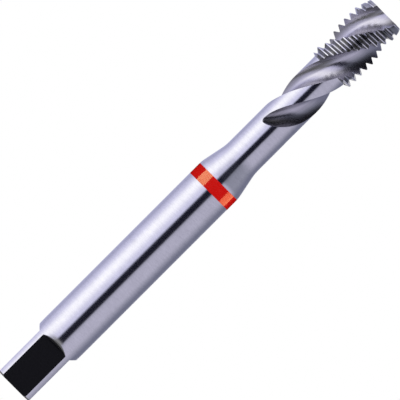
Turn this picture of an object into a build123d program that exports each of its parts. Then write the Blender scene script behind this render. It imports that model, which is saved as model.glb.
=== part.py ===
from build123d import *
from math import atan2, ceil, cos, degrees, floor, pi, radians, sin, sqrt, tan
import os

# A machine tap M10 x 1.5 with three right-hand helical flutes and a reinforced shank, ground from one bar.
# It stands on its drive square: the origin is the middle of that end face, and +Z points at the cutting end.
# Lengths are millimetres. Angles round the axis run from +X, counter-clockwise as seen from the cutting end.

# Shank and neck
overall_length = 100.0
shank_diameter = 10.0
neck_diameter = 7.8
head_length = 39.0  # from the end of the shank's cone to the tip
cone_half_angle = 11.5
cone_start_blend = 3.0
cone_end_blend = 10.0
drive_end_chamfer = 0.3

# Drive square
square_across_flats = 8.0
square_length = 11.0
square_runout_angle = 50.0

# Colour ring, a band of paint that lies in the shank as deep as the coat is thick
ring_width = 2.7
ring_to_cone = 0.5
ring_thickness = 0.04

# Thread
thread_diameter = 10.0
thread_pitch = 1.5
thread_length = 14.65
thread_flank_angle = 60.0
thread_crest_flat = 0.19
thread_root_flat = 0.07
thread_first_crest = 0.3  # height of a crest over the thread's start, where it crosses +X
thread_shoulder_angle = 70.0

# Lead chamfer at the tip
lead_length = 3.0
lead_half_angle = 18.0

# Flutes
flute_count = 3
flute_helix_angle = 36.8  # at the thread's outside diameter
flute_length = 31.0
edge_angle = -1.8  # where one cutting edge meets the plane of the tip
land_angle = 43.6
rake_angle = 10.0
web_diameter = 4.3
gullet_radius = 2.1
gullet_turn = 78.0  # direction in which the flute's back leaves the gullet, from the flute's middle line
runout_radius = 11.0
lift_direction = -6.0  # in which the wheel leaves the flute, from the flute's middle line

# Centre holes that the tap was ground between
drive_centre_mouth = 2.8
tip_centre_mouth = 2.0
centre_pilot = 0.9
centre_depth = 2.4
centre_angle = 60.0

# How the cutters are drawn
cutter_overrun = 1.0  # how far a cutter reaches out of the metal
flute_overrun = 2.5  # more for a flute, whose section closes along a straight line outside the thread
groove_overrun = 0.08  # less for the thread's groove, whose turns meet a little outside the thread
groove_reach = 0.3  # how far a groove runs on past its land, as a share of the flute's width
lift_clearance = 0.3  # how far over the neck a flute's section is lifted at its lower end
sections_per_turn = 9
lifted_sections = 5

shank_r = shank_diameter / 2
neck_r = neck_diameter / 2
thread_r = thread_diameter / 2
cone_top = overall_length - head_length
cone_bottom = cone_top - (shank_r - neck_r) / tan(radians(cone_half_angle))
ring_top = cone_bottom - ring_to_cone
ring_bottom = ring_top - ring_width
thread_start = overall_length - thread_length
flute_lead = pi * thread_diameter / tan(radians(flute_helix_angle))
flank_slope = tan(radians(thread_flank_angle / 2))
root_r = thread_r - (thread_pitch - thread_crest_flat - thread_root_flat) / 2 / flank_slope


def direction(angle):
    """Unit vector in the plane across the axis."""
    return Vector(cos(radians(angle)), sin(radians(angle)))


def turned_blank():
    """Shank with the ring's recess, cone, neck, thread collar and lead chamfer, turned from one outline."""
    shoulder = (thread_r - neck_r) / tan(radians(thread_shoulder_angle))
    tip_r = thread_r - lead_length * tan(radians(lead_half_angle))
    outline = Polyline(
        (0, 0),
        (shank_r - drive_end_chamfer, 0),
        (shank_r, drive_end_chamfer),
        (shank_r, ring_bottom),
        (shank_r - ring_thickness, ring_bottom),
        (shank_r - ring_thickness, ring_top),
        (shank_r, ring_top),
        (shank_r, cone_bottom),
        (neck_r, cone_top),
        (neck_r, thread_start - shoulder),
        (thread_r, thread_start),
        (thread_r, overall_length - lead_length),
        (tip_r, overall_length),
        (0, overall_length),
        close=True,
    )
    blank = revolve(Plane.XZ * make_face(outline), Axis.Z)
    near = 0.01
    for height, radius in ((cone_bottom, cone_start_blend), (cone_top, cone_end_blend)):
        ridge = blank.edges().filter_by_position(Axis.Z, height - near, height + near)
        blank = fillet(ridge, radius)
    return blank


def flute_section():
    """Section of the space that a flute takes, across the axis, with the flute's middle along +X.

    A straight rake face runs in from the cutting edge, a round gullet turns at the web, and a hollow back
    rises to the heel of the next land. Outside the tap the section closes along straight lines.
    """
    half = (360 / flute_count - land_angle) / 2
    edge = direction(-half) * thread_r
    heel = direction(half) * thread_r
    inward = 180 - half + rake_angle
    offset = edge + direction(inward - 90) * gullet_radius
    reach = web_diameter / 2 + gullet_radius
    along = offset.dot(direction(inward))
    face_length = -along - sqrt(along**2 - offset.dot(offset) + reach**2)
    face_end = edge + direction(inward) * face_length
    centre = offset + direction(inward) * face_length
    back_start = centre + direction(gullet_turn + 90) * gullet_radius
    middle = centre + direction((inward + gullet_turn) / 2 + 90) * gullet_radius
    chord = heel - back_start
    heel_turn = 2 * degrees(atan2(chord.Y, chord.X)) - gullet_turn
    edge_out = edge - direction(inward) * flute_overrun
    heel_out = heel + direction(heel_turn) * flute_overrun
    sides = [
        Line(edge_out, face_end),
        ThreePointArc(face_end, middle, back_start),
        TangentArc(back_start, heel, tangent=direction(gullet_turn)),
        Line(heel, heel_out),
        Line(heel_out, edge_out),
    ]
    return Face(Wire(sides))


def flute_cutter():
    """One flute: its section lofted up the helix, lifted out at the lower end along the grinding wheel's arc."""
    depth = neck_r - web_diameter / 2
    lift_start = overall_length - flute_length + sqrt(2 * runout_radius * depth - depth**2)
    clear_depth = depth + lift_clearance
    runout = sqrt(2 * runout_radius * clear_depth - clear_depth**2)
    top = overall_length + cutter_overrun
    steps = ceil((top - lift_start) / flute_lead * sections_per_turn)
    section = flute_section()
    middle = edge_angle + (360 / flute_count - land_angle) / 2
    heights = [top - (top - lift_start) * i / steps for i in range(steps + 1)]
    heights += [lift_start - runout * (i + 1) / lifted_sections for i in range(lifted_sections)]
    places = []
    for height in heights:
        below = max(lift_start - height, 0.0)
        lift = runout_radius - sqrt(runout_radius**2 - below**2)
        turn = middle + 360 * (height - overall_length) / flute_lead
        away = direction(lift_direction) * lift
        places.append(Pos(0, 0, height) * Rot(0, 0, turn) * Pos(away.X, away.Y, 0) * section)
    return loft(places)


def thread_cutters():
    """The thread's V groove, as one short piece for each turn on each land, which starts and ends in the flutes."""
    mouth_r = thread_r + groove_overrun
    half_root = thread_root_flat / 2
    half_mouth = half_root + (mouth_r - root_r) * flank_slope
    section = Polyline(
        (root_r, -half_root),
        (mouth_r, -half_mouth),
        (mouth_r, half_mouth),
        (root_r, half_root),
        close=True,
    )
    span = land_angle + 2 * groove_reach * (360 / flute_count - land_angle)
    rise = thread_pitch * span / 360
    path = Helix(thread_pitch, rise, root_r)
    piece = sweep(Plane.XZ * make_face(section), path=path, is_frenet=True)
    groove_height = thread_start + thread_first_crest + thread_pitch / 2
    step = thread_pitch / (1 - thread_pitch / flute_lead)
    cutters = []
    for land in range(flute_count):
        land_middle = edge_angle - land_angle / 2 + 360 / flute_count * land
        below_tip = 360 * (groove_height - overall_length) / flute_lead
        angle = (land_middle + below_tip) / (1 - thread_pitch / flute_lead)
        height = groove_height + thread_pitch * angle / 360
        first = ceil((thread_start - thread_pitch - height) / step)
        last = floor((overall_length + thread_pitch / 2 - height) / step)
        for turn in range(first, last + 1):
            up = turn * step
            place = Pos(0, 0, height + up - rise / 2) * Rot(0, 0, angle + 360 * up / flute_lead - span / 2)
            cutters.append(place * piece)
    return cutters


def square_cutters():
    """What is milled away for the four flats of the drive square, with a sloping run-out into the shank."""
    flat = square_across_flats / 2
    outside = shank_r + cutter_overrun
    slope_end = square_length + (outside - flat) / tan(radians(square_runout_angle))
    profile = Polyline(
        (flat, -cutter_overrun),
        (outside, -cutter_overrun),
        (outside, slope_end),
        (flat, square_length),
        close=True,
    )
    block = extrude(Plane.XZ * make_face(profile), amount=outside, both=True)
    return [Rot(0, 0, 90 * side) * block for side in range(4)]


def centre_hole(mouth):
    """Centre drilling for the grinder's centres, with its mouth on the plane of the end and its pilot below."""
    mouth_r = mouth / 2
    pilot_r = centre_pilot / 2
    cone_depth = (mouth_r - pilot_r) / tan(radians(centre_angle / 2))
    outline = Polyline(
        (0, cutter_overrun),
        (mouth_r, cutter_overrun),
        (mouth_r, 0),
        (pilot_r, -cone_depth),
        (pilot_r, -centre_depth),
        (0, -centre_depth - pilot_r),
        close=True,
    )
    return revolve(Plane.XZ * make_face(outline), Axis.Z)


def tap_body():
    """The tap as one solid, cut in the order in which it is made."""
    flutes = [Rot(0, 0, 360 / flute_count * i) * flute_cutter() for i in range(flute_count)]
    body = turned_blank() - square_cutters()
    body -= [Pos(0, 0, overall_length) * centre_hole(tip_centre_mouth)]
    body -= [Rot(180, 0, 0) * centre_hole(drive_centre_mouth)]
    body -= flutes
    body -= thread_cutters()
    return body


def colour_ring():
    """Band of paint in the ground shank, just below the cone and flush with it."""
    band = Cylinder(shank_r, ring_width) - Cylinder(shank_r - ring_thickness, ring_width)
    return Pos(0, 0, (ring_bottom + ring_top) / 2) * band


os.makedirs("parts", exist_ok=True)
for name, shape in (("tap_body", tap_body()), ("colour_ring", colour_ring())):
    shape.label = name
    export_step(shape, f"parts/{name}.step")
    box = shape.bounding_box()
    size = (round(box.size.X, 3), round(box.size.Y, 3), round(box.size.Z, 3))
    print(name, "solids", len(shape.solids()), "volume", round(shape.volume, 1), "size", size)
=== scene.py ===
# %% [markdown]
# # A machine tap with helical flutes
# A tap cuts an inside thread. This one is ground from a single bar: a round shank with a square for the
# chuck, a slim neck, and a threaded head that three helical flutes cut into cutting edges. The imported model
# gives its place and size, and this lesson builds the surfaces that a camera sees close by.

import bpy
import numpy as np
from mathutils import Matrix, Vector
from mathutils.geometry import tessellate_polygon


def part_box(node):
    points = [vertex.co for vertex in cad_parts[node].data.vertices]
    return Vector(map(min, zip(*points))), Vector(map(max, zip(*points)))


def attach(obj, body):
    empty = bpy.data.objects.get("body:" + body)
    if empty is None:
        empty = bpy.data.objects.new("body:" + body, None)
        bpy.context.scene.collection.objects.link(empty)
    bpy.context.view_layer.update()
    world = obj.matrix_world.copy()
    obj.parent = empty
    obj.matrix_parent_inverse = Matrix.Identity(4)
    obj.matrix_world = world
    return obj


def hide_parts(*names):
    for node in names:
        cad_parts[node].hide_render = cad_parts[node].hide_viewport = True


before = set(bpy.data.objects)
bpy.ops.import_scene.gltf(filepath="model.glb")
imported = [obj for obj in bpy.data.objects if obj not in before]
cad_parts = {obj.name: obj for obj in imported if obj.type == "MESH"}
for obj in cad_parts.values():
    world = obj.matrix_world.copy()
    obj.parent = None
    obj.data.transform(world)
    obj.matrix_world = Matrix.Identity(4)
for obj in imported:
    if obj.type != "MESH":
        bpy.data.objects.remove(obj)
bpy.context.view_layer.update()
tap_low, tap_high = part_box("tap_body")
ring_low, ring_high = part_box("colour_ring")
print("tap from", tuple(tap_low), "to", tuple(tap_high))

# %% [markdown]
# ## Sizes
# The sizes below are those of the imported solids: the blank, the square, the thread and the flutes. The
# surfaces are worked out in millimetres, with the tap standing on its square, and become metres at the very
# end.

# %% Sizes in millimetres
MM, MICRON = 0.001, 0.000001
LENGTH = 100.0
SHANK_R, NECK_R, THREAD_R = 5.0, 3.9, 5.0
END_CHAMFER = 0.3
RING_BOTTOM, RING_TOP = ring_low.z / MM, ring_high.z / MM
RING_DEPTH = 0.04
CONE_TOP = 61.0
CONE_SLOPE = np.tan(np.radians(11.5))
CONE_BOTTOM = CONE_TOP - (SHANK_R - NECK_R) / CONE_SLOPE
FLAT_X = 4.0
SQUARE_LENGTH = 11.0
RUNOUT_SLOPE = np.tan(np.radians(50.0))
PITCH = 1.5
THREAD_START = LENGTH - 14.65
FIRST_CREST = THREAD_START + 0.3
SHOULDER = (THREAD_R - NECK_R) / np.tan(np.radians(70.0))
LEAD_LENGTH = 3.0
LEAD_SLOPE = np.tan(np.radians(18.0))
FLANK_ANGLE = 30.0
FLANK_SLOPE = np.tan(np.radians(FLANK_ANGLE))
HALF_CREST = 0.095
ROOT_RADIUS = 0.1
ROOT_REACH = ROOT_RADIUS * np.cos(np.radians(FLANK_ANGLE))  # from the root's middle to the straight flank
SHARP_ROOT_R = THREAD_R + (HALF_CREST - PITCH / 2) / FLANK_SLOPE  # where the flanks would meet
ROOT_R = SHARP_ROOT_R + ROOT_RADIUS
FLUTE_LEAD = 2 * np.pi * THREAD_R / np.tan(np.radians(36.8))
SECTOR = 120.0  # one flute and one land, in degrees
EDGE_ANGLE = -1.8
HALF_FLUTE = 38.2
RAKE_ANGLE = 10.0
TINY = 1e-9
print("flute lead", round(FLUTE_LEAD, 2), "mm, cone starts at", round(CONE_BOTTOM, 2), "mm")

# %% [markdown]
# ## One sheet for the whole tap
# The tap's skin can be seen as one sheet of quads rolled into a tube: 240 columns run from the square to
# the tip, and rows go round it. Near the square the columns gather over the four flats, and in the head
# they gather over three flutes and three lands, so every sharp edge of the real tap lies on a column or on
# a row. In between, on the neck, the columns slide from one set of places to the other.

# %% Columns of the sheet
FLUTE_COLUMNS, LAND_COLUMNS = 44, 36
FLAT_COLUMNS, CORNER_COLUMNS = 48, 12
COLUMNS = 3 * (FLUTE_COLUMNS + LAND_COLUMNS)
SLIDE_START, SLIDE_END = 62.0, 66.0
step = np.arange(COLUMNS)
in_sector = step % (FLUTE_COLUMNS + LAND_COLUMNS)
on_flute = in_sector < FLUTE_COLUMNS
side_step = step % (FLAT_COLUMNS + CORNER_COLUMNS)


def turn(height):
    """Turn of the flutes at a height, in degrees: a full circle for each lead, and none at the tip."""
    return 360.0 * (height - LENGTH) / FLUTE_LEAD


def spread(low, high, columns):
    """Columns spaced evenly from low to high, the last one left to the next patch."""
    return low[..., None] + (high - low)[..., None] * np.arange(columns) / columns


def square_angles(radius):
    """Angles of the columns round a square bar turned to a radius: a flat ends where cos = flat / radius."""
    half = np.degrees(np.arccos(FLAT_X / radius))
    flat = spread(-half, half, FLAT_COLUMNS)
    corner = spread(half, 90.0 - half, CORNER_COLUMNS)
    side = np.concatenate([flat, corner], axis=-1)
    return np.concatenate([side + 90.0 * i for i in range(4)], axis=-1)


print(COLUMNS, "columns,", on_flute.sum(), "of them in the flutes")

# %% [markdown]
# ## The flute's section
# A grinding wheel leaves a straight rake face behind the cutting edge, a round gullet at the core and a
# hollow back that rises to the heel of the next land. Points in the plane are complex numbers here, because
# turning such a point by an angle is one multiplication.

# %% Section of a flute
WEB_R, GULLET_R = 2.15, 2.1
RAKE_RUN = 180.0 - HALF_FLUTE + RAKE_ANGLE
GULLET_RUN = 78.0
OVERRUN = 2.5
RAKE_POINTS, GULLET_POINTS, HOLLOW_POINTS, OUTSIDE_POINTS = 200, 160, 200, 60


def ray(angle):
    """Unit step in a direction given in degrees, as a complex number."""
    return np.exp(1j * np.radians(angle))


def flute_curve():
    """Line, arc, arc: in along the rake, round the gullet, out along a hollow arc that is tangent to it.

    Both ends go on outside the tap, so the curve can be cut off at any radius.
    """
    edge, heel = THREAD_R * ray(-HALF_FLUTE), THREAD_R * ray(HALF_FLUTE)
    offset = edge + GULLET_R * ray(RAKE_RUN - 90.0)
    along = (offset * ray(-RAKE_RUN)).real
    run = -along - np.sqrt(along**2 - abs(offset) ** 2 + (WEB_R + GULLET_R) ** 2)
    centre = offset + run * ray(RAKE_RUN)
    back = centre + GULLET_R * ray(GULLET_RUN + 90.0)
    heel_run = 2 * np.degrees(np.angle(heel - back)) - GULLET_RUN
    hollow_r = abs(heel - back) / (2 * np.sin(np.radians(heel_run - GULLET_RUN) / 2))
    rake = edge + np.linspace(-OVERRUN, run, RAKE_POINTS) * ray(RAKE_RUN)
    gullet = centre + GULLET_R * ray(np.linspace(RAKE_RUN, GULLET_RUN, GULLET_POINTS)[1:] + 90.0)
    middle = back + hollow_r * ray(GULLET_RUN + 90.0)
    hollow = middle + hollow_r * ray(np.linspace(GULLET_RUN, heel_run, HOLLOW_POINTS)[1:] - 90.0)
    outside = heel + np.linspace(0.0, OVERRUN, OUTSIDE_POINTS)[1:] * ray(heel_run)
    return np.concatenate([rake, gullet, hollow, outside])


CURVE = flute_curve()
CURVE_STEP = np.arange(len(CURVE))
print(len(CURVE), "points on the flute's curve")

# %% [markdown]
# The wheel leaves the flute at its lower end, along a circle. So the section is moved outwards there, until
# at the flute's nose only its deepest point still touches the neck.

# %% Run-out of a flute
RUNOUT_R = 11.0
LIFT_RUN = ray(-6.0)
LIFT_DEPTH = NECK_R - WEB_R
FLUTE_END = LENGTH - 31.0
LIFT_START = FLUTE_END + np.sqrt(2 * RUNOUT_R * LIFT_DEPTH - LIFT_DEPTH**2)


def lift(height):
    """How far the wheel has left the flute: the drop of its circle, below the height where it starts."""
    below = np.clip(LIFT_START - height, 0.0, RUNOUT_R - 0.01)
    return (RUNOUT_R - np.sqrt(RUNOUT_R**2 - below**2)) * LIFT_RUN


def on_curve(place):
    """Point of the flute's curve at a place that may fall between two of its samples."""
    return np.interp(place, CURVE_STEP, CURVE.real) + 1j * np.interp(place, CURVE_STEP, CURVE.imag)


def crossings(lifted, edge_r, heel_r):
    """Places on the curve where it leaves the metal: from its deepest sample out to a radius on each side."""
    radius = abs(CURVE[None, :] + lifted[:, None])
    rows = np.arange(len(radius))
    deep = radius.argmin(axis=1)
    before = (radius >= edge_r[:, None]) & (CURVE_STEP < deep[:, None])
    last = len(CURVE) - 1 - before[:, ::-1].argmax(axis=1)
    last = np.where(before.any(axis=1), last, deep - 1)
    drop = radius[rows, last] - radius[rows, last + 1]
    edge = last + np.clip((radius[rows, last] - edge_r) / np.maximum(drop, TINY), 0.0, 1.0)
    after = (radius >= heel_r[:, None]) & (CURVE_STEP > deep[:, None])
    first = np.where(after.any(axis=1), after.argmax(axis=1), deep + 1)
    rise = radius[rows, first] - radius[rows, first - 1]
    heel = first - np.clip((radius[rows, first] - heel_r) / np.maximum(rise, TINY), 0.0, 1.0)
    return edge, heel


tried = np.linspace(SLIDE_END, SLIDE_END + 6.0, 6001)
depths = abs(CURVE[None, ::4] + lift(tried)[:, None]).min(axis=1)
NOSE = float(np.interp(-NECK_R, -depths, tried))
nose_curve = CURVE + lift(np.array([NOSE]))[0]
NOSE_ANGLE = float(np.degrees(np.angle(nose_curve[abs(nose_curve).argmin()])))
print("the flute's run-out starts at", round(LIFT_START, 2), "and its nose is at", round(NOSE, 2), "mm")

# %% [markdown]
# ## The thread and the blank under it
# The land's radius is the smaller of two: that of the turned blank, with its shoulder and its lead chamfer,
# and that of the thread's flanks. A soft minimum takes the burr off the crests as a grinding wheel's
# dressing does.

# %% Radius of the land
BURR = 0.03


def blank_radius(height):
    """Turned outline of the head: neck, shoulder, full thread diameter, then the lead chamfer."""
    places = (0.0, THREAD_START - SHOULDER, THREAD_START, LENGTH - LEAD_LENGTH, LENGTH)
    radii = (NECK_R, NECK_R, THREAD_R, THREAD_R, THREAD_R - LEAD_LENGTH * LEAD_SLOPE)
    return np.interp(height, places, radii)


def thread_radius(height, angle):
    """Straight flanks that rise from a round root: the distance to the root's middle gives the radius."""
    phase = (height - FIRST_CREST - PITCH * angle / 360.0) / PITCH
    away = np.abs(phase - np.floor(phase) - 0.5) * PITCH
    arc = SHARP_ROOT_R + 2 * ROOT_RADIUS - np.sqrt(ROOT_RADIUS**2 - np.minimum(away, ROOT_REACH) ** 2)
    return np.where(away < ROOT_REACH, arc, SHARP_ROOT_R + away / FLANK_SLOPE)


def land_radius(height, angle):
    """Soft minimum of blank and thread: where they are within the burr's width, the corner is rounded off."""
    blank, thread = blank_radius(height), thread_radius(height, angle)
    near = np.maximum(BURR - np.abs(blank - thread), 0.0) / BURR
    soft = np.minimum(blank, thread) - near**2 * BURR / 4
    return np.where(height < THREAD_START - SHOULDER, blank, np.maximum(soft, NECK_R))


print("root radius", round(float(thread_radius(FIRST_CREST + PITCH / 2, 0.0)), 3), "mm")

# %% [markdown]
# ## Rows of the head
# A row that climbs one pitch in a turn stays on one crest or in one root, so the thread needs few rows. The
# rows have to close into rings, so each falls back by a pitch inside one flute, where nothing depends on
# it. Towards the neck the rows level out.

# %% Rows that follow the thread
NOSE_END, LEVEL_TOP, SHOULDER_ROW = 76.0, 83.4, 83.5  # heights between which the rows are spaced alike
NOSE_ROWS, LEVEL_ROWS, THREAD_TURNS = 30, 12, 11
SHOULDER_STEP = 0.06
TILT_START, TILT_END = 77.0, 83.0  # heights between which level rows turn into climbing ones
CREST_BEVEL, FLANK_TOP, ROOT_INSET = 0.022, 0.02, 0.045  # offsets of rows from a crest's edge and a root
FLANK_FOOT = PITCH / 2 - ROOT_REACH
FULL_HEIGHT = 90.0  # where the blank has its full diameter
WIDEST_CREST = 0.62
CREST_ROUNDS, EDGE_ROUNDS = 6, 7
first_crest_row = FIRST_CREST - PITCH * (LENGTH - TILT_END) / FLUTE_LEAD


def thread_stations():
    """Rows over one pitch, from root over the crest to root, each as offset = base + share x half crest."""
    bevel = [(-CREST_BEVEL, 1.0), (CREST_BEVEL, 1.0)]
    flank = [((1 - f) * FLANK_TOP + f * FLANK_FOOT, 1 - f) for f in (1 / 3, 2 / 3)]
    right = [*bevel, *flank, (FLANK_FOOT, 0.0), (PITCH / 2 - ROOT_INSET, 0.0)]
    left = [(-base, -share) for base, share in reversed(right)]
    return np.array(left + [(0.0, 0.0)] + right + [(PITCH / 2, 0.0)])


def head_rows():
    """Base height, share of the half crest and tilt of every row from the flute's nose to past the tip."""
    nose = NOSE + (NOSE_END - NOSE) * np.linspace(0.0, 1.0, NOSE_ROWS) ** 2
    level = np.linspace(NOSE_END, LEVEL_TOP, LEVEL_ROWS + 1)[1:]
    shoulder = np.arange(SHOULDER_ROW, first_crest_row + PITCH / 2 + 0.01, SHOULDER_STEP)
    stations = thread_stations()
    crests = first_crest_row + PITCH * np.arange(1, THREAD_TURNS + 1)
    base = (crests[:, None] + stations[None, :, 0]).ravel()
    share = np.tile(stations[:, 1], len(crests))
    plain = np.concatenate([nose, level, shoulder])
    bases = np.concatenate([plain, base])
    shares = np.concatenate([np.zeros(len(plain)), share])
    ramp = np.clip((bases - TILT_START) / (TILT_END - TILT_START), 0.0, 1.0)
    return bases, shares, ramp * ramp * (3 - 2 * ramp)


ROW_BASE, ROW_SHARE, ROW_TILT = head_rows()


def row_height(base, share, tilt, angle, fall):
    """Height of a row at a column: base, plus a pitch per turn of tilt, less what it has fallen back.

    The crest gets wider where the lead chamfer cuts it, so the height is worked out a few times over.
    """
    lean = PITCH * angle / 360.0 - PITCH * TILT_END / FLUTE_LEAD + PITCH * fall
    crest = HALF_CREST
    for _ in range(CREST_ROUNDS):
        height = (base + share * crest + tilt * lean) / (1 - tilt * PITCH / FLUTE_LEAD)
        cut_off = THREAD_R - blank_radius(np.clip(height, FULL_HEIGHT, LENGTH))
        crest = np.minimum(HALF_CREST + cut_off * FLANK_SLOPE, WIDEST_CREST)
    return np.minimum(height, LENGTH)


print(len(ROW_BASE), "rows in the head")

# %% [markdown]
# ## The head
# Each flute's columns follow its section between the cutting edge and the heel, and each land's columns
# follow the thread. Where they meet depends on the thread's depth there, so that place is found first, by a
# few rounds of correction.

# %% Surface of the head


def head_surface():
    """Rows of points as x + iy and height: the turned section in a flute, the thread's profile on a land."""
    lifted = lift(ROW_BASE)
    middles = EDGE_ANGLE + HALF_FLUTE + SECTOR * np.arange(3)
    edge_at = np.tile(-HALF_FLUTE, (len(ROW_BASE), 3))
    heel_at = -edge_at
    falls = np.array([0.0, 0.0, -1.0])
    row = (ROW_BASE[:, None], ROW_SHARE[:, None], ROW_TILT[:, None])
    for _ in range(EDGE_ROUNDS):
        edge_z = row_height(*row, middles + edge_at, 0.0)
        heel_z = row_height(*row, middles + heel_at, falls)
        edge_r = land_radius(edge_z, middles + edge_at + turn(edge_z))
        heel_r = land_radius(heel_z, middles + heel_at + turn(heel_z))
        found = [crossings(lifted, edge_r[:, k], heel_r[:, k]) for k in range(3)]
        edge_place = np.stack([f[0] for f in found], axis=1)
        heel_place = np.stack([f[1] for f in found], axis=1)
        edge_at = np.degrees(np.angle(on_curve(edge_place) + lifted[:, None]))
        heel_at = np.degrees(np.angle(on_curve(heel_place) + lifted[:, None]))
    points, tops = [], []
    for k in range(3):
        place = spread(edge_place[:, k], heel_place[:, k], FLUTE_COLUMNS)
        angle = spread(middles[k] + edge_at[:, k], middles[k] + heel_at[:, k], FLUTE_COLUMNS)
        fall = falls[k] * np.arange(FLUTE_COLUMNS) / FLUTE_COLUMNS
        height = row_height(*row, angle, fall)
        points.append((on_curve(place) + lifted[:, None]) * ray(middles[k] + turn(height)))
        tops.append(height)
        next_edge = middles[k] + SECTOR + edge_at[:, (k + 1) % 3]
        angle = spread(middles[k] + heel_at[:, k], next_edge, LAND_COLUMNS)
        height = row_height(*row, angle, falls[k])
        points.append(land_radius(height, angle + turn(height)) * ray(angle + turn(height)))
        tops.append(height)
    points, tops = np.concatenate(points, axis=1), np.concatenate(tops, axis=1)
    return np.where(tops >= LENGTH, points[-1], points), tops


head_points, head_heights = head_surface()
print("head", head_points.shape, "rows and columns")

# %% [markdown]
# ## Shank, square and neck
# Below the flutes the tap is turned, so a row is a circle at a height. The square's flats are cut across
# it: where a flat is nearer than the turned radius, the flat wins. The mill leaves the flat on a slope, and
# rows crowd there.

# %% Turned outline of the shank
ROUND_START = 13.0
SHANK_ROWS, CONE_ROWS = 24, 6


def rounded(corner, before, after, radius, count):
    """Arc that rounds a corner of an outline: it touches both sides, and its points are height and radius."""
    corner, before, after = (np.array(p, float) for p in (corner, before, after))
    first, second = before - corner, after - corner
    first, second = first / np.linalg.norm(first), second / np.linalg.norm(second)
    half = np.arccos(first @ second) / 2
    centre = corner + (first + second) / np.linalg.norm(first + second) * radius / np.sin(half)
    start, end = corner + first * radius / np.tan(half), corner + second * radius / np.tan(half)
    share = np.linspace(0.0, 1.0, count)[:, None]
    chord = start + (end - start) * share - centre
    return centre + chord / np.linalg.norm(chord, axis=1)[:, None] * radius


cone_low, cone_high = (CONE_BOTTOM, SHANK_R), (CONE_TOP, NECK_R)
cone_start = rounded(cone_low, (0.0, SHANK_R), cone_high, radius=3.0, count=7)
cone_end = rounded(cone_high, cone_low, (LENGTH, NECK_R), radius=10.0, count=9)
shank_outline = np.concatenate(
    [
        [(z, SHANK_R) for z in np.linspace(ROUND_START, RING_BOTTOM, SHANK_ROWS)],
        [(RING_BOTTOM, SHANK_R - RING_DEPTH), (RING_TOP, SHANK_R - RING_DEPTH), (RING_TOP, SHANK_R)],
        cone_start,
        np.linspace(cone_start[-1], cone_end[0], CONE_ROWS + 2)[1:-1],
        cone_end,
    ]
)
print(len(shank_outline), "rows from the square to the neck")

# %% [markdown]
# The columns of the square and those of the flutes carry the same numbers, so the square's are shifted
# until they lie as near as they can to the flutes', and slide over on the neck, where the surface is round
# and sliding is free.

# %% Columns on the neck
FAN_LENGTH = 3.0


def neck_angles(height):
    """Columns under the flutes: each flute's columns fan out from its nose, and the lands' make room."""
    open_share = np.clip((NOSE - height) / FAN_LENGTH, 0.0, 1.0)
    half = HALF_FLUTE * open_share
    middles = EDGE_ANGLE + HALF_FLUTE + NOSE_ANGLE + SECTOR * np.arange(3)
    parts = []
    for middle in middles:
        parts.append(spread(middle - half, middle + half, FLUTE_COLUMNS))
        parts.append(spread(middle + half, middle + SECTOR - half, LAND_COLUMNS))
    return np.concatenate(parts, axis=-1) + turn(np.maximum(height, SLIDE_END))[..., None]


head_start = neck_angles(np.array([SLIDE_END]))[0]
square_start = square_angles(np.array([SHANK_R]))[0]
fits = []
for n in range(COLUMNS):
    rolled = np.concatenate([square_start, square_start + 360.0])[n : n + COLUMNS]
    gap = head_start - rolled
    whole = 360.0 * np.round(gap.mean() / 360.0)
    fits.append((np.abs(gap - whole).max(), n, whole))
_, SHIFT, WHOLE = min(fits)


def shank_angles(radius):
    """Columns of the square, renumbered to run on into the flutes' columns."""
    angles = square_angles(radius)
    return np.concatenate([angles, angles + 360.0], axis=-1)[..., SHIFT : SHIFT + COLUMNS] + WHOLE


print("the square's columns are shifted by", SHIFT)

# %% Rows of the shank and neck
LEVEL_HEIGHTS = (0.0, 0.1, 0.2, 0.3, 1.0, 2.5, 4.5, 6.5, 8.5, 10.0, 10.7, SQUARE_LENGTH)
SLOPE_SHARES = (0.12, 0.24, 0.36, 0.55, 0.7, 0.8, 0.88, 0.95, 1.02, 1.1, 1.25)
WORN_EDGE = 0.2
SLIDE_ROWS, FAN_ROWS = 8, 16


def side_cosine(angles):
    """Cosine of the angle between each column and the middle of the nearest flat."""
    return np.cos(np.radians((angles + 45.0) % 90.0 - 45.0))


def square_surface():
    """Rows on the square: the end chamfer, the flats at their distance, and the slope away from them.

    The slope's upper edge is worn: slope and cylinder run into each other, most where the slope is longest.
    """
    heights = np.array(LEVEL_HEIGHTS)
    turned = np.minimum(SHANK_R, SHANK_R - END_CHAMFER + heights)
    angles = shank_angles(turned)
    level = np.minimum(turned[:, None], FLAT_X / side_cosine(angles)) * ray(angles)
    lean = side_cosine(angles[-1])
    end = np.maximum(SHANK_R * lean - FLAT_X, 0.0) / RUNOUT_SLOPE
    share = np.array(SLOPE_SHARES)[:, None]
    slope_r = (FLAT_X + share * end * RUNOUT_SLOPE) / lean
    worn = WORN_EDGE * end
    radii = (SHANK_R + slope_r - np.sqrt((SHANK_R - slope_r) ** 2 + worn**2)) / 2
    slope = radii * ray(angles[-1])
    heights = np.concatenate([np.repeat(heights[:, None], COLUMNS, axis=1), SQUARE_LENGTH + share * end])
    return np.concatenate([level, slope]), heights


def shank_surface():
    """Rows on the turned outline: radius times a unit step at each column's angle."""
    heights, radii = shank_outline[:, 0], shank_outline[:, 1]
    angles = np.repeat(shank_angles(np.array([SHANK_R])), len(heights), axis=0)
    return radii[:, None] * ray(angles), np.repeat(heights[:, None], COLUMNS, axis=1)


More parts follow.
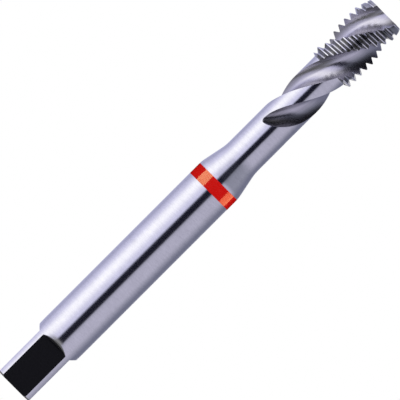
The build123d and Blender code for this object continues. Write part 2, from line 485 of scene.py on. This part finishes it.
def neck_surface():
    """Rows on the neck, where the columns slide from the square's angles to the flutes'."""
    sliding = np.linspace(cone_end[-1][0], SLIDE_END, SLIDE_ROWS)[1:]
    heights = np.concatenate([sliding, np.linspace(SLIDE_END, NOSE, FAN_ROWS)[1:-1]])
    share = np.clip((heights - SLIDE_START) / (SLIDE_END - SLIDE_START), 0.0, 1.0)[:, None]
    angles = (1 - share) * shank_angles(np.array([SHANK_R])) + share * neck_angles(heights)
    return NECK_R * ray(angles), np.repeat(heights[:, None], COLUMNS, axis=1)


square_points, square_heights = square_surface()
shank_points, shank_heights = shank_surface()
neck_points, neck_heights = neck_surface()
print("rows:", len(square_points), "square,", len(shank_points), "shank,", len(neck_points), "neck")

# %% [markdown]
# ## Centre holes and ends
# Both ends carry the small 60 degree centre holes between which the tap was ground. At the square the
# hole's rows simply go before the others. The tip's face isn't star-shaped, because the rake faces lean
# back under the edges, so it is filled with triangles between its outline and the mouth of the hole.

# %% Centre holes
PILOT_R, HOLE_DEPTH = 0.45, 2.4
DRIVE_MOUTH_R, TIP_MOUTH_R = 1.4, 1.0
TIP_LAG = 30.0  # turns the hole's columns back from the outline's, in degrees


def centre_hole(mouth_r, angles):
    """Rows from the bottom point up the pilot and the 60 degree cone to the mouth, with heights as depths."""
    cone = (mouth_r - PILOT_R) / FLANK_SLOPE
    radii = np.array([0.0, PILOT_R, PILOT_R, mouth_r])
    depths = np.array([HOLE_DEPTH + PILOT_R, HOLE_DEPTH, cone, 0.0])
    return radii[:, None] * ray(angles), np.repeat(depths[:, None], COLUMNS, axis=1)


drive_points, drive_heights = centre_hole(DRIVE_MOUTH_R, shank_angles(np.array([SHANK_R - END_CHAMFER]))[0])
tip_angles = 360.0 * step / COLUMNS + np.degrees(np.angle(head_points[-1, 0])) - TIP_LAG
tip_points, tip_depths = centre_hole(TIP_MOUTH_R, tip_angles)
tip_points, tip_heights = tip_points[::-1], LENGTH - tip_depths[::-1]
print("centre holes", drive_points.shape, tip_points.shape)

# %% One mesh from the rows
COLUMN_WIDTH = 0.18  # about that of a flute's column, in millimetres


def quads(rows, first):
    """Corner numbers of the quads between neighbouring rows, closed round the tube, facing outwards."""
    here = first + np.arange(rows - 1)[:, None] * COLUMNS + step[None, :]
    beside = first + np.arange(rows - 1)[:, None] * COLUMNS + (step[None, :] + 1) % COLUMNS
    return np.stack([here, beside, beside + COLUMNS, here + COLUMNS], axis=-1).reshape(-1, 4)


def tip_face(outline, mouth, first_outline, first_mouth):
    """Triangles between the head's outline and the mouth of the centre hole, turned to face the tip."""
    loops = [[Vector((p.real, p.imag, 0.0)) for p in loop] for loop in (outline, mouth)]
    corners = np.array(tessellate_polygon(loops))
    flat = np.concatenate([outline, mouth])
    a, b, c = (flat[corners[:, n]] for n in range(3))
    down = ((b - a).conjugate() * (c - a)).imag < 0
    corners[down] = corners[down][:, ::-1]
    numbers = np.concatenate([first_outline + step, first_mouth + step])
    return numbers[corners]


body_points = np.concatenate([drive_points, square_points, shank_points, neck_points, head_points])
body_heights = np.concatenate([drive_heights, square_heights, shank_heights, neck_heights, head_heights])
rows_before = np.cumsum([0, len(drive_points), len(square_points), len(shank_points), len(neck_points)])
body_rows = len(body_points)
all_points = np.concatenate([body_points, tip_points])
all_heights = np.concatenate([body_heights, tip_heights])
sheet = quads(body_rows, 0)
hole = quads(len(tip_points), body_rows * COLUMNS)
face = tip_face(head_points[-1], tip_points[0], (body_rows - 1) * COLUMNS, body_rows * COLUMNS)
across = np.broadcast_to(in_sector * COLUMN_WIDTH, all_points.shape)
wheel_place = np.stack([across, np.zeros(all_points.shape), all_heights], axis=-1).reshape(-1, 3)
print(len(sheet), "quads and", len(face), "triangles on the tip's face")

# %% [markdown]
# ## Which finish goes where
# Every finish of the real tap belongs to one way of making it: the cylinder is ground between centres, the
# flutes and the thread each by their own wheel, and the flats keep the dark skin of the hardening, which
# reaches a little way up their run-out. A face gets the number of its finish from its row and its column.

# %% Finish of each face
GROUND, FLUTE, THREAD, FLAT = range(4)
BLACK_ROWS = len(LEVEL_HEIGHTS) + 2
THREAD_FINISH_START = THREAD_START - 0.6
sheet_row = np.repeat(np.arange(body_rows - 1), COLUMNS)
sheet_column = np.tile(step, body_rows - 1)
finish_number = np.full(len(sheet), GROUND)
on_head = sheet_row >= rows_before[4]
finish_number[on_head & on_flute[sheet_column]] = FLUTE
on_thread = on_head & ~on_flute[sheet_column] & (all_heights[sheet_row, sheet_column] > THREAD_FINISH_START)
finish_number[on_thread] = THREAD
flat_column = np.concatenate([side_step, side_step])[SHIFT : SHIFT + COLUMNS] < FLAT_COLUMNS
flat_rows = (sheet_row >= rows_before[1]) & (sheet_row < rows_before[1] + BLACK_ROWS)
finish_number[flat_rows & flat_column[sheet_column]] = FLAT
finish_numbers = np.concatenate([finish_number, np.full(len(hole) + len(face), GROUND)])
face_counts = np.bincount(finish_numbers).tolist()
print("faces:", dict(zip(("ground", "flute", "thread", "flat"), face_counts)))

# %% Piece from arrays
MERGED_WITHIN, EMPTY_UNDER = 2e-7, 1e-7
SHARP_ANGLE = 28.0


def make_piece(name, points, faces, numbers, materials, wheel=None):
    """Mesh from arrays: doubled points merged, empty faces dropped, and smooth except at sharp corners."""
    mesh = bpy.data.meshes.new(name)
    mesh.from_pydata(points.tolist(), [], faces)
    if wheel is not None:
        mesh.attributes.new("wheel_place", "FLOAT_VECTOR", "POINT").data.foreach_set("vector", wheel.ravel())
    mesh.polygons.foreach_set("material_index", numbers)
    for material in materials:
        mesh.materials.append(material)
    piece = bpy.data.objects.new(name, mesh)
    bpy.context.scene.collection.objects.link(piece)
    bpy.context.view_layer.objects.active = piece
    bpy.ops.object.select_all(action="DESELECT")
    piece.select_set(True)
    bpy.ops.object.mode_set(mode="EDIT")
    bpy.ops.mesh.select_all(action="SELECT")
    bpy.ops.mesh.remove_doubles(threshold=MERGED_WITHIN)
    bpy.ops.mesh.dissolve_degenerate(threshold=EMPTY_UNDER)
    bpy.ops.object.mode_set(mode="OBJECT")
    mesh.shade_smooth()
    mesh.set_sharp_from_angle(angle=np.radians(SHARP_ANGLE))
    return piece


# %% [markdown]
# ## Shader maths
# A small class wraps a socket of a material's nodes, so that a pattern is written as arithmetic. A noise
# drawn over a stretched place becomes lines, which is what a grinding wheel leaves.

# %% Sockets that add up


class Strand:
    """A socket that can be added, multiplied and raised to a power, each sign adding one Math node."""

    def __init__(self, tree, socket):
        self.tree = tree
        self.socket = socket

    def node(self, kind, settings=None, values=None, out=0):
        """Any other node: its settings first, then the values or links of its sockets."""
        made = self.tree.nodes.new(kind)
        for name, value in (settings or {}).items():
            setattr(made, name, value)
        for name, value in (values or {}).items():
            if isinstance(value, Strand):
                self.tree.links.new(value.socket, made.inputs[name])
            else:
                made.inputs[name].default_value = value
        return Strand(self.tree, made.outputs[out])

    def maths(self, operation, first, second):
        return self.node("ShaderNodeMath", {"operation": operation}, {0: first, 1: second})

    def __add__(self, other):
        return self.maths("ADD", self, other)

    __radd__ = __add__

    def __sub__(self, other):
        return self.maths("SUBTRACT", self, other)

    def __rsub__(self, other):
        return self.maths("SUBTRACT", other, self)

    def __mul__(self, other):
        return self.maths("MULTIPLY", self, other)

    __rmul__ = __mul__

    def __truediv__(self, other):
        return self.maths("DIVIDE", self, other)

    def __pow__(self, other):
        return self.maths("POWER", self, other)

    def clamped(self):
        """The value kept between 0 and 1."""
        return self.node("ShaderNodeClamp", None, {"Value": self, "Min": 0.0, "Max": 1.0})

    def blend(self, first, second):
        """Colour between two, this strand being the share of the second."""
        return self.node("ShaderNodeMix", {"data_type": "RGBA"}, {0: self, 6: first, 7: second}, out=2)


def colour(red, green, blue):
    return (red, green, blue, 1.0)


def new_material(name):
    """Material, its Principled shader, and the place on the tap in millimetres as a strand of its tree."""
    material = bpy.data.materials.new(name)
    material.use_nodes = True
    tree = material.node_tree
    shader = tree.nodes["Principled BSDF"]
    start = Strand(tree, shader.outputs[0])
    place = start.node("ShaderNodeTexCoord", out="Object")
    place = start.node("ShaderNodeVectorMath", {"operation": "SCALE"}, {0: place, "Scale": 1 / MM})
    return material, shader, place


def stretched(place, x, y, z):
    """The place with each axis scaled, so that a round pattern becomes lines along the slowest axis."""
    return place.node("ShaderNodeVectorMath", {"operation": "MULTIPLY"}, {0: place, 1: (x, y, z)})


def noise(place, scale, detail=2.0, roughness=0.5):
    """Noise between 0 and 1, mostly near 0.5."""
    values = {"Vector": place, "Scale": scale, "Detail": detail, "Roughness": roughness}
    return place.node("ShaderNodeTexNoise", None, values)


def from_axis(place):
    """Distance from the tap's axis, and height, in millimetres."""
    apart = place.node("ShaderNodeSeparateXYZ", None, {0: place})
    x, y, z = (Strand(place.tree, apart.socket.node.outputs[axis]) for axis in "XYZ")
    return (x * x + y * y) ** 0.5, z


def set_values(shader, **values):
    """Constants and strands for the shader's sockets, by name with _ for a space."""
    for name, value in values.items():
        socket = shader.inputs[name.replace("_", " ")]
        if isinstance(value, Strand):
            value.tree.links.new(value.socket, socket)
        else:
            socket.default_value = value


def bumped(place, height):
    """Normal from a height in thousandths of a millimetre."""
    return place.node("ShaderNodeBump", None, {"Height": height, "Distance": MICRON, "Strength": 1.0})


# %% [markdown]
# ## Ground steel
# High speed steel ground between centres is bright, with very fine lines round the bar. The lines are a
# noise that runs fast along the axis and slowly round it; they tilt the normal a little and change the
# gloss a little. Broader bands, which are less drawn out, make the grey uneven.

# %% Ground steel


def ground_steel():
    material, shader, place = new_material("ground_steel")
    lines = noise(stretched(place, 0.25, 0.25, 9.0), 1.0, 4.0, 0.7)
    bands = noise(stretched(place, 0.7, 0.7, 2.6), 1.0, 4.0, 0.75)
    cloud = noise(place, 0.35, 3.0)
    shade = ((lines * 0.2 + bands * 0.6 + cloud * 0.2 - 0.5) * 3.0 + 0.5).clamped()
    set_values(
        shader,
        Base_Color=shade.blend(colour(0.55, 0.55, 0.57), colour(0.67, 0.67, 0.69)),
        Metallic=1.0,
        Roughness=0.10 + lines * 0.07,
        Normal=bumped(place, lines * 2.0),
    )
    return material


# %% [markdown]
# ## Wheel-ground flutes, thread, dark flats and lacquer
# The flute wheel leaves lines that run with the helix, so they follow each point's place across the flute,
# which is stored with the mesh. Near the run-out the flutes are painted darker in streaks, a painted dark
# reflection. Edges are brighter, from wear and a painted highlight; crests and roots are brighter as painted
# highlights, and the flanks between them are darker as painted shade. The flats are black and dull, and the
# lacquer is a smooth red film.

# %% Flute steel
# Heights over which the painted dark reflection near the run-out fades out.
PAINTED_DARK_START, PAINTED_DARK_FADE = 68.5, 6.0
# Reach and fade of the brighter edges, which are wear and a painted highlight.
EDGE_WEAR_AND_SHEEN, EDGE_SHEEN_FADE = 0.14, 0.12


def flute_steel():
    material, shader, place = new_material("flute_steel")
    wheel = place.node("ShaderNodeAttribute", {"attribute_name": "wheel_place"}, out="Vector")
    lines = noise(stretched(wheel, 9.0, 1.0, 0.25), 1.0, 3.0, 0.6)
    tracks = noise(stretched(wheel, 2.4, 1.0, 0.06), 1.0, 3.0, 0.7)
    cloud = noise(place, 0.5, 2.0)
    radius, up = from_axis(place)
    # Near the run-out the colour is painted dark in streaks, a painted dark reflection that fades out
    # upwards.
    undarkened = ((up - PAINTED_DARK_START) / PAINTED_DARK_FADE).clamped()
    shade = ((lines * 0.3 + tracks * 0.5 + cloud * 0.2 - 0.5) * 2.2 + 0.5).clamped()
    steel = shade.blend(colour(0.42, 0.41, 0.44), colour(0.62, 0.61, 0.65))
    dark_streaks = ((tracks - 0.5) * 4.0 + 0.4).clamped()
    painted_dark = dark_streaks.blend(colour(0.015, 0.014, 0.015), colour(0.22, 0.21, 0.215))
    # Near the lands' edges the colour is brighter: wear, and a painted highlight where a rounded edge would
    # catch the light.
    land_r = NECK_R + (THREAD_R - NECK_R) * ((up - THREAD_START) * 4.0).clamped()
    worn = ((radius - land_r + EDGE_WEAR_AND_SHEEN) / EDGE_SHEEN_FADE).clamped() * (0.4 + lines * 0.6)
    set_values(
        shader,
        Base_Color=worn.blend(undarkened.blend(painted_dark, steel), colour(0.82, 0.81, 0.84)),
        Metallic=1.0,
        Roughness=0.20 + lines * 0.1,
        Normal=bumped(place, lines * 3.0 + tracks * 12.0),
    )
    return material


# %% Thread steel
# Reach and fade of the painted highlights on the crests and in the roots.
CREST_HIGHLIGHT, CREST_HIGHLIGHT_FADE = 0.05, 0.04
ROOT_HIGHLIGHT, ROOT_HIGHLIGHT_FADE = 0.09, 0.06


def thread_steel():
    material, shader, place = new_material("thread_steel")
    lines = noise(stretched(place, 0.4, 0.4, 14.0), 1.0, 2.0)
    radius, _ = from_axis(place)
    # Crests and roots are painted brighter, as painted highlights, and the flanks between them darker, as
    # painted shade.
    worn = ((radius - THREAD_R + CREST_HIGHLIGHT) / CREST_HIGHLIGHT_FADE).clamped()
    root = ((ROOT_R + ROOT_HIGHLIGHT - radius) / ROOT_HIGHLIGHT_FADE).clamped()
    flank = lines.blend(colour(0.35, 0.35, 0.35), colour(0.45, 0.45, 0.45))
    set_values(
        shader,
        Base_Color=(worn + root).clamped().blend(flank, colour(0.74, 0.74, 0.76)),
        Metallic=1.0,
        Roughness=0.12 + lines * 0.06 + root * 0.2,
        Normal=bumped(place, lines * 2.0),
    )
    return material


# %% Hardened flats and lacquer


def hardened_black():
    material, shader, place = new_material("hardened_black")
    grain = noise(place, 3.0, 5.0, 0.6)
    set_values(
        shader,
        Base_Color=grain.blend(colour(0.002, 0.002, 0.004), colour(0.008, 0.008, 0.012)),
        Metallic=0.0,
        Roughness=0.5 + grain * 0.2,
        Specular_IOR_Level=0.1,
        Normal=bumped(place, grain * 6.0),
    )
    return material


def ring_lacquer():
    material, shader, place = new_material("ring_lacquer")
    film = noise(place, 0.8, 2.0)
    set_values(
        shader,
        Base_Color=film.blend(colour(0.60, 0.004, 0.003), colour(0.68, 0.008, 0.006)),
        Metallic=0.0,
        Roughness=0.10 + film * 0.04,
        IOR=1.5,
        Normal=bumped(place, film * 3.0),
    )
    return material


finishes = [ground_steel(), flute_steel(), thread_steel(), hardened_black()]
print("finishes:", [m.name for m in finishes])

# %% The tap's piece
points = np.stack([all_points.real, all_points.imag, all_heights], axis=-1).reshape(-1, 3) * MM
faces = sheet.tolist() + hole.tolist() + face.tolist()
tap = make_piece("ground_tap", points, faces, finish_numbers, finishes, wheel_place)
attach(tap, "root")
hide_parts("tap_body")
triangles = sum(len(polygon.vertices) - 2 for polygon in tap.data.polygons)
print("tap:", len(tap.data.vertices), "points,", triangles, "triangles")

# %% [markdown]
# ## Colour ring
# The red ring tells the user which material the tap is for. It is a coat of lacquer rolled on in a shallow
# recess, so it is a thin closed band, with edges that are just rounded.

# %% Ring of lacquer
RING_COLUMNS = 192
RING_CORNER = 0.02


def ring_surface(columns):
    """Closed section of the coat carried round the axis: flat outside, with soft corners."""
    inner = SHANK_R - RING_DEPTH
    quarter = np.radians(np.linspace(-90.0, 0.0, 4))
    corner = RING_CORNER * np.stack([np.cos(quarter) - 1, np.sin(quarter) + 1], axis=1)
    bottom = corner + (SHANK_R, RING_BOTTOM)
    top = bottom[::-1] * (1, -1) + (0, RING_BOTTOM + RING_TOP)
    side = np.linspace(bottom[-1], top[0], 6)[1:-1]
    section = np.concatenate([[(inner, RING_BOTTOM)], bottom, side, top, [(inner, RING_TOP)]])
    angle = np.radians(360.0 * np.arange(columns) / columns)
    radius, height = section[:, :1], np.repeat(section[:, 1:], columns, axis=1)
    points = np.stack([radius * np.cos(angle), radius * np.sin(angle), height], axis=-1)
    rows = len(section)
    row, column = np.meshgrid(np.arange(rows), np.arange(columns), indexing="ij")
    after, beside = (row + 1) % rows, (column + 1) % columns
    near, far = row * columns, after * columns
    corners = np.stack([near + column, near + beside, far + beside, far + column], axis=-1)
    return points.reshape(-1, 3) * MM, corners.reshape(-1, 4).tolist()


ring_points, ring_faces = ring_surface(RING_COLUMNS)
ring = make_piece("lacquer_ring", ring_points, ring_faces, np.zeros(len(ring_faces), int), [ring_lacquer()])
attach(ring, "root")
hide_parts("colour_ring")
print("ring:", len(ring.data.vertices), "points")

# %% [markdown]
# ## Studio
# The photograph shows the tap alone on white. The floor and the world are white, and the tap's shine comes
# from what stands round it: a soft lamp panel on the left, grey cards on the right, a dark ceiling, a narrow
# dark card in front, and a light panel between dark cards behind. They are painted on the inside of a ball
# that only the steel's reflections see. The lacquer is glossier, so two strip lamps of its own give it the
# two sharp lights that the photograph shows.

# %% Studio ball
STEEL_GAIN = 0.64
BALL_COLUMNS, BALL_ROWS, BALL_RADIUS = 360, 181, 6.0
LAMP_AWAY, LAMP_HEIGHT = 0.5, 0.3
BARE_WALL = (0.36, 0.36, 0.51)

# Each panel says where its left, right, lower and upper sides start and where they are full, then its paint.
# The sides are in degrees: azimuth 0 is at the camera and positive towards +X, and elevation 0 is level.
PANELS = {
    "ground": ((-181, -180), (181, 180), (-91, -90), (-17, -30), (0.12, 0.12, 0.12)),
    "dark ceiling": ((-112, -78), (165, 72), (14, 34), (91, 90), (0.002, 0.002, 0.003)),
    "dark card on the right": ((-36, 18), (166, 100), (-32, -17), (52, 15), (0.125, 0.14, 0.175)),
    "blue card at the back right": ((80, 113), (181, 180), (-44, -10), (60, 14), (0.16, 0.165, 0.23)),
    "grey card on the right": ((-6, 39), (126, 69), (-30, -8), (43, -10), (0.455, 0.44, 0.55)),
    "soft wall on the left": ((-135, -91), (-9, -18), (-80, -3), (42, 15), (0.615, 0.605, 0.79)),
    "lamp panel on the left": ((-102, -65), (-19, -59), (-30, -8), (51, 25), (0.98, 0.97, 1.03)),
    "low card in front": ((-61, -16), (23, 13), (-36, -10), (-5, -14), (0.24, 0.235, 0.23)),
    "narrow dark card in front": ((-12, -6), (24, 16), (-11, -8), (28, 25), (0.008, 0.008, 0.017)),
    "dark card high in front": ((6, 20), (38, 24), (15, 49), (91, 90), (0.006, 0.005, 0.006)),
    "light panel behind": ((160, 164), (176, 172), (-35, -25), (50, 30), (0.66, 0.65, 0.70)),
    "dark card behind, right half": ((170, 174), (181, 180), (-30, -20), (60, 40), (0.01, 0.01, 0.02)),
    "dark card behind, left half": ((-181, -180), (-176, -179), (-30, -20), (60, 40), (0.01, 0.01, 0.02)),
}


def smooth_step(value, start, end):
    """0 before start, 1 after end, and an S between them."""
    share = np.clip((value - start) / (end - start), 0.0, 1.0)
    return share * share * (3 - 2 * share)


def glow(azimuth, elevation):
    """Brightness seen in a direction: the bare wall, with one panel after another laid over it.

    The paints are as the panels look in ground steel, which gives back a share of the light, so they are
    divided by that share.
    """
    shade = np.zeros((*azimuth.shape, 3)) + BARE_WALL
    for left, right, low, high, paint in PANELS.values():
        share = smooth_step(azimuth, *left) * (1 - smooth_step(azimuth, *right[::-1]))
        share = share * smooth_step(elevation, *low) * (1 - smooth_step(elevation, *high[::-1]))
        shade = shade * (1 - share[..., None]) + np.array(paint) * share[..., None]
    return shade / STEEL_GAIN


def studio_ball(columns, rows, radius):
    """Ball round the tap with its faces turned inwards and a colour at every point."""
    azimuth = np.linspace(-180.0, 180.0, columns + 1)[None, :]
    elevation = np.linspace(-90.0, 90.0, rows)[:, None]
    level = np.cos(np.radians(elevation))
    x = radius * level * np.sin(np.radians(azimuth))
    y = -radius * level * np.cos(np.radians(azimuth))
    z = radius * np.sin(np.radians(elevation)) + LENGTH / 2 * MM + 0 * azimuth
    points = np.stack([x, y, z], axis=-1).reshape(-1, 3)
    here = np.arange(rows - 1)[:, None] * (columns + 1) + np.arange(columns)[None, :]
    corners = np.stack([here, here + columns + 1, here + columns + 2, here + 1], axis=-1).reshape(-1, 4)
    mesh = bpy.data.meshes.new("studio_ball")
    mesh.from_pydata(points.tolist(), [], corners.tolist())
    grid = np.broadcast_to(azimuth, (rows, columns + 1)), np.broadcast_to(elevation, (rows, columns + 1))
    shades = np.ones((rows * (columns + 1), 4), np.float32)
    shades[:, :3] = glow(*grid).reshape(-1, 3)
    mesh.attributes.new("glow", "FLOAT_COLOR", "POINT").data.foreach_set("color", shades.ravel())
    ball = bpy.data.objects.new("studio_ball", mesh)
    bpy.context.scene.collection.objects.link(ball)
    ball.visible_camera = ball.visible_diffuse = ball.visible_shadow = ball.visible_transmission = False
    return ball


def ball_light():
    """Emission with the colour that is stored at the ball's points."""
    material = bpy.data.materials.new("ball_light")
    material.use_nodes = True
    tree = material.node_tree
    tree.nodes.remove(tree.nodes["Principled BSDF"])
    output = Strand(tree, None)
    shade = output.node("ShaderNodeAttribute", {"attribute_name": "glow"}, out="Color")
    light = output.node("ShaderNodeEmission", None, {"Color": shade, "Strength": 1.0})
    tree.links.new(light.socket, tree.nodes["Material Output"].inputs["Surface"])
    return material


def only_for(piece):
    """Collection outside the scene that names the one piece that a light shines on."""
    receivers = bpy.data.collections.new("only_" + piece.name)
    receivers.objects.link(piece)
    return receivers


def strip_lamp(name, azimuth, width, power, tint):
    """Lamp level with the ring and facing it. Only the ring mirrors it, and nothing is lit by it."""
    lamp = bpy.data.lights.new(name, "AREA")
    lamp.shape = "RECTANGLE"
    lamp.size, lamp.size_y = width, LAMP_HEIGHT
    lamp.energy, lamp.color = power, tint
    holder = bpy.data.objects.new(name, lamp)
    bpy.context.scene.collection.objects.link(holder)
    turned = np.radians(azimuth)
    holder.location = (LAMP_AWAY * np.sin(turned), -LAMP_AWAY * np.cos(turned), RING_BOTTOM * MM)
    holder.rotation_euler = (np.radians(90.0), 0.0, turned)
    holder.visible_camera = holder.visible_diffuse = False
    holder.light_linking.receiver_collection = only_for(ring)
    return holder


lamps = [
    strip_lamp("left_strip", -57.0, 0.45, 2.9, (1.0, 0.82, 0.42)),
    strip_lamp("right_strip", 88.0, 0.40, 2.3, (1.0, 0.48, 0.22)),
]
ball = studio_ball(BALL_COLUMNS, BALL_ROWS, BALL_RADIUS)
ball.data.materials.append(ball_light())
ball.light_linking.receiver_collection = only_for(tap)
print("studio ball:", len(ball.data.polygons), "faces,", len(PANELS), "panels and", len(lamps), "strip lamps")

# %% Floor and world
FLOOR_HALF, FLOOR_GAP = 4.0, 0.0002


def white_floor(half):
    """Square of floor just under the tap."""
    mesh = bpy.data.meshes.new("floor")
    corners = [(-half, -half, 0), (half, -half, 0), (half, half, 0), (-half, half, 0)]
    mesh.from_pydata(corners, [], [(0, 1, 2, 3)])
    floor = bpy.data.objects.new("floor", mesh)
    bpy.context.scene.collection.objects.link(floor)
    floor.location.z = -FLOOR_GAP
    return floor


def white_paper():
    """Pure white to the camera and plain matt paper to the light. Reflections pass it and see the ball."""
    material = bpy.data.materials.new("white_paper")
    material.use_nodes = True
    tree = material.node_tree
    shader = tree.nodes["Principled BSDF"]
    start = Strand(tree, shader.outputs[0])
    set_values(shader, Base_Color=colour(0.8, 0.8, 0.8), Roughness=0.9, Specular_IOR_Level=0.0)
    straight = start.node("ShaderNodeLightPath", out="Is Camera Ray")
    glossy = start.node("ShaderNodeLightPath", out="Is Glossy Ray")
    clear = start.node("ShaderNodeLightPath", out="Is Transmission Ray")
    white = start.node("ShaderNodeEmission", None, {"Color": colour(1, 1, 1), "Strength": 1.0})
    seen = (straight + glossy + clear).clamped()
    mixed = start.node("ShaderNodeMixShader", None, {0: seen, 1: start, 2: white})
    tree.links.new(mixed.socket, tree.nodes["Material Output"].inputs["Surface"])
    return material


floor = white_floor(FLOOR_HALF)
floor.data.materials.append(white_paper())
floor.visible_glossy = False

world = bpy.data.worlds.new("white_room")
bpy.context.scene.world = world
world.use_nodes = True
background = world.node_tree.nodes["Background"]
background.inputs["Color"].default_value = colour(1, 1, 1)
background.inputs["Strength"].default_value = 1.0
print("white floor and white world")

# %% [markdown]
# ## Camera
# A long lens looks square at the tap's side, level with its middle. The camera is rolled by 45 degrees, so
# the tip points to the upper right, and its distance makes the tap as long in the picture as in the
# photograph.

# %% Camera
FRAME_PIXELS = 400.0
PIXELS_PER_MM = 5.25
TAP_MIDDLE = (199.6, 200.3)
LENS_MM, SENSOR_MM = 600.0, 36.0


def make_camera():
    """Camera in front of the tap's middle, shifted by the part of a pixel that the photo is off centre."""
    camera = bpy.data.cameras.new("camera")
    camera.lens = LENS_MM
    camera.sensor_width = SENSOR_MM
    view = bpy.data.objects.new("camera", camera)
    bpy.context.scene.collection.objects.link(view)
    span = FRAME_PIXELS / PIXELS_PER_MM * MM
    distance = span * LENS_MM / SENSOR_MM
    view.rotation_euler = (np.radians(90.0), np.radians(-45.0), 0.0)
    view.location = (0.0, -distance, LENGTH / 2 * MM)
    camera.shift_x = (FRAME_PIXELS / 2 - TAP_MIDDLE[0]) / FRAME_PIXELS
    camera.shift_y = -(FRAME_PIXELS / 2 - TAP_MIDDLE[1]) / FRAME_PIXELS
    camera.clip_start, camera.clip_end = 0.05, 50.0
    return view


view = make_camera()
bpy.context.scene.camera = view
bpy.context.scene.view_settings.view_transform = "Standard"
print("camera at", tuple(round(c, 3) for c in view.location))
